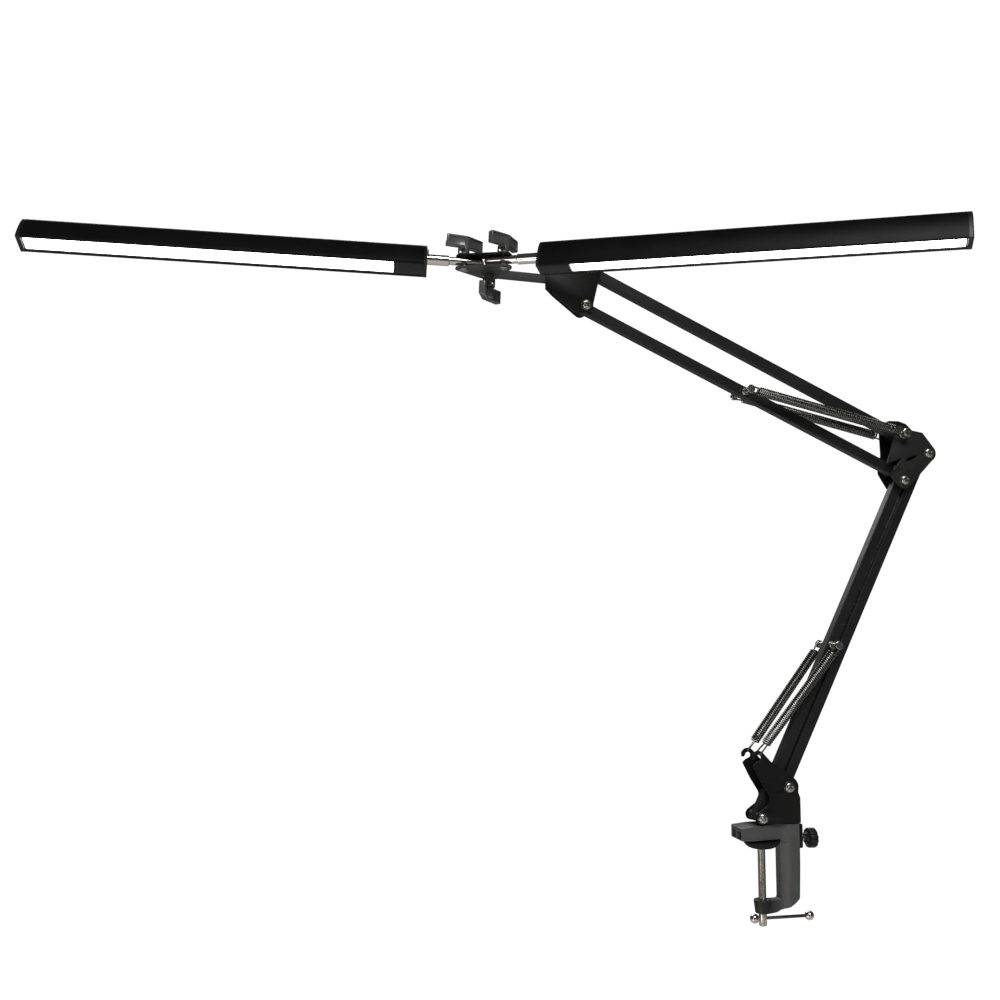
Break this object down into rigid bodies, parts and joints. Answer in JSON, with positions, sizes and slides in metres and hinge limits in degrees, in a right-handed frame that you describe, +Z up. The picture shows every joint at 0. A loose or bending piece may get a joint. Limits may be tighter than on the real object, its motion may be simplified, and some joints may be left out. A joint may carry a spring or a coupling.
{
  "type": "architect desk lamp",
  "caption": "Desk-clamped lamp with two sprung parallelogram arms and a twin bracket that carries two long straight bar lights.",
  "frame": {"origin": "underside of the clamp's upper jaw, on the axis of the clamp screw, where the desk top's surface touches the jaw", "axes": "+Z up away from the desk; the arms move in the XZ plane; -X towards the desk's user side where the lamps reach, -Y towards the front of the lamps"},
  "size_m": [0.8795, 0.2786, 0.6475],
  "materials": {
    "clamp_casting": "satin",
    "black_arm": "satin",
    "black_plate": "satin",
    "zinc": "satin",
    "bright_steel": "polished",
    "chrome": "polished",
    "spring_steel": "satin",
    "black_plastic": "satin",
    "lamp_body": "satin anodised",
    "diffuser": "frosted",
    "led_board": "matte"
  },
  "bodies": {
    "clamp": {"clamp_frame": "clamp_casting", "socket_bush": "black_plastic"},
    "pressure_pad": {"pressure_pad": "black_plastic"},
    "clamp_screw": {"clamp_screw": "bright_steel"},
    "tommy_bar": {"tommy_bar": "bright_steel", "tommy_bar_balls": "bright_steel"},
    "lock_knob": {"lock_knob": "black_plastic", "lock_screw": "zinc"},
    "base_post": {"base_bracket": "black_plate", "base_spigot": "bright_steel", "base_sleeves": "zinc", "base_bolts": "zinc", "base_nuts": "zinc", "base_spacers": "black_plastic", "lower_spring_near": "spring_steel", "lower_spring_far": "spring_steel"},
    "lower_arm": {"lower_front_bar": "black_arm", "lower_spring_pin": "zinc"},
    "lower_link": {"lower_rear_bar": "black_arm"},
    "elbow": {"elbow_plate_near": "black_plate", "elbow_plate_far": "black_plate", "elbow_sleeves": "zinc", "elbow_bolts": "zinc", "elbow_spring_bolt": "zinc", "elbow_nuts": "zinc", "elbow_spacers": "black_plastic", "upper_spring_near": "spring_steel", "upper_spring_far": "spring_steel"},
    "upper_arm": {"upper_lower_bar": "black_arm", "upper_spring_pin": "zinc"},
    "upper_link": {"upper_top_bar": "black_arm"},
    "head": {"head_bracket": "black_plate", "head_sleeves": "zinc", "head_bolts": "zinc", "head_nuts": "zinc", "head_spacers": "black_plastic"},
    "twin_bracket": {"twin_lower_plate": "black_plate", "twin_top_plate": "black_plate", "twin_nuts": "zinc"},
    "lower_knob": {"lower_thumb_knob": "black_plastic", "lower_thumb_screw": "bright_steel"},
    "left_knob": {"left_thumb_knob": "black_plastic", "left_thumb_screw": "bright_steel"},
    "right_knob": {"right_thumb_knob": "black_plastic", "right_thumb_screw": "bright_steel"},
    "left_swivel": {"left_barrel": "chrome"},
    "left_lamp": {"left_rod": "chrome", "left_housing": "lamp_body", "left_diffuser": "diffuser", "left_outer_cap": "black_plastic", "left_inner_cap": "black_plastic", "left_led_board": "led_board"},
    "right_swivel": {"right_barrel": "chrome"},
    "right_lamp": {"right_rod": "chrome", "right_housing": "lamp_body", "right_diffuser": "diffuser", "right_outer_cap": "black_plastic", "right_inner_cap": "black_plastic", "right_led_board": "led_board"}
  },
  "joints": [
    {"name": "screw_turn", "type": "hinge", "parent": "pressure_pad", "child": "clamp_screw", "pos_m": [0, 0, -0.0735], "axis": [0, 0, 1], "range_deg": [-7200, 0]},
    {"name": "pad_slide", "type": "slide", "parent": "clamp", "child": "pressure_pad", "axis": [0, 0, 1], "range_m": [-0.04, 0]},
    {"name": "tommy_slide", "type": "slide", "parent": "clamp_screw", "child": "tommy_bar", "axis": [1, 0, 0], "range_m": [-0.038, 0]},
    {"name": "lock_turn", "type": "hinge", "parent": "clamp", "child": "lock_knob", "pos_m": [0.035, 0, -0.0018], "axis": [1, 0, 0], "continuous": true},
    {"name": "base_swivel", "type": "hinge", "parent": "clamp", "child": "base_post", "pos_m": [0.024, 0, 0], "axis": [0, 0, 1], "continuous": true},
    {"name": "lower_arm_tilt", "type": "hinge", "parent": "base_post", "child": "lower_arm", "pos_m": [-0.0035, 0, 0.0205], "axis": [0, -1, 0], "range_deg": [-2, 75], "deforming": ["lower_spring_near", "lower_spring_far"]},
    {"name": "lower_link_tilt", "type": "hinge", "parent": "base_post", "child": "lower_link", "pos_m": [0.0239, 0, 0.0483], "axis": [0, -1, 0], "range_deg": [-2, 75]},
    {"name": "elbow_level", "type": "hinge", "parent": "lower_arm", "child": "elbow", "pos_m": [0.15601, 0, 0.34324], "axis": [0, -1, 0], "range_deg": [-75, 2]},
    {"name": "upper_arm_tilt", "type": "hinge", "parent": "elbow", "child": "upper_arm", "pos_m": [0.14931, 0, 0.35343], "axis": [0, -1, 0], "range_deg": [-50, 70], "deforming": ["upper_spring_near", "upper_spring_far"]},
    {"name": "upper_link_tilt", "type": "hinge", "parent": "elbow", "child": "upper_link", "pos_m": [0.15541, 0, 0.38973], "axis": [0, -1, 0], "range_deg": [-50, 70]},
    {"name": "head_level", "type": "hinge", "parent": "upper_arm", "child": "head", "pos_m": [-0.17107, 0, 0.50283], "axis": [0, -1, 0], "range_deg": [-70, 50]},
    {"name": "twin_turn", "type": "hinge", "parent": "head", "child": "twin_bracket", "pos_m": [-0.2628, 0, 0.5291], "axis": [0.0384, 0, 0.9993], "range_deg": [-60, 15]},
    {"name": "lower_knob_turn", "type": "hinge", "parent": "twin_bracket", "child": "lower_knob", "pos_m": [-0.2628, 0, 0.5291], "axis": [0.0384, 0, 0.9993], "continuous": true},
    {"name": "left_knob_turn", "type": "hinge", "parent": "twin_bracket", "child": "left_knob", "pos_m": [-0.28886, -0.01114, 0.53741], "axis": [0.0384, 0, 0.9993], "continuous": true},
    {"name": "right_knob_turn", "type": "hinge", "parent": "twin_bracket", "child": "right_knob", "pos_m": [-0.25459, -0.02749, 0.53609], "axis": [0.0384, 0, 0.9993], "continuous": true},
    {"name": "left_swing", "type": "hinge", "parent": "twin_bracket", "child": "left_swivel", "pos_m": [-0.28886, -0.01114, 0.53741], "axis": [0.0384, 0, 0.9993], "range_deg": [-40, 60]},
    {"name": "left_roll", "type": "hinge", "parent": "left_swivel", "child": "left_lamp", "pos_m": [-0.28886, -0.01114, 0.53741], "axis": [-0.9928, 0.1132, 0.0381], "range_deg": [-90, 90]},
    {"name": "right_swing", "type": "hinge", "parent": "twin_bracket", "child": "right_swivel", "pos_m": [-0.25459, -0.02749, 0.53609], "axis": [-0.0384, 0, -0.9993], "range_deg": [-8, 55]},
    {"name": "right_roll", "type": "hinge", "parent": "right_swivel", "child": "right_lamp", "pos_m": [-0.25459, -0.02749, 0.53609], "axis": [-0.8697, 0.4924, 0.0334], "range_deg": [-90, 90]}
  ],
  "couplings": [
    {"joint": "pad_slide", "follows": "screw_turn", "m_per_rad": 0.00031831},
    {"joint": "lower_link_tilt", "follows": "lower_arm_tilt", "ratio": 1},
    {"joint": "elbow_level", "follows": "lower_arm_tilt", "ratio": -1},
    {"joint": "upper_link_tilt", "follows": "upper_arm_tilt", "ratio": 1},
    {"joint": "head_level", "follows": "upper_arm_tilt", "ratio": -1}
  ]
}
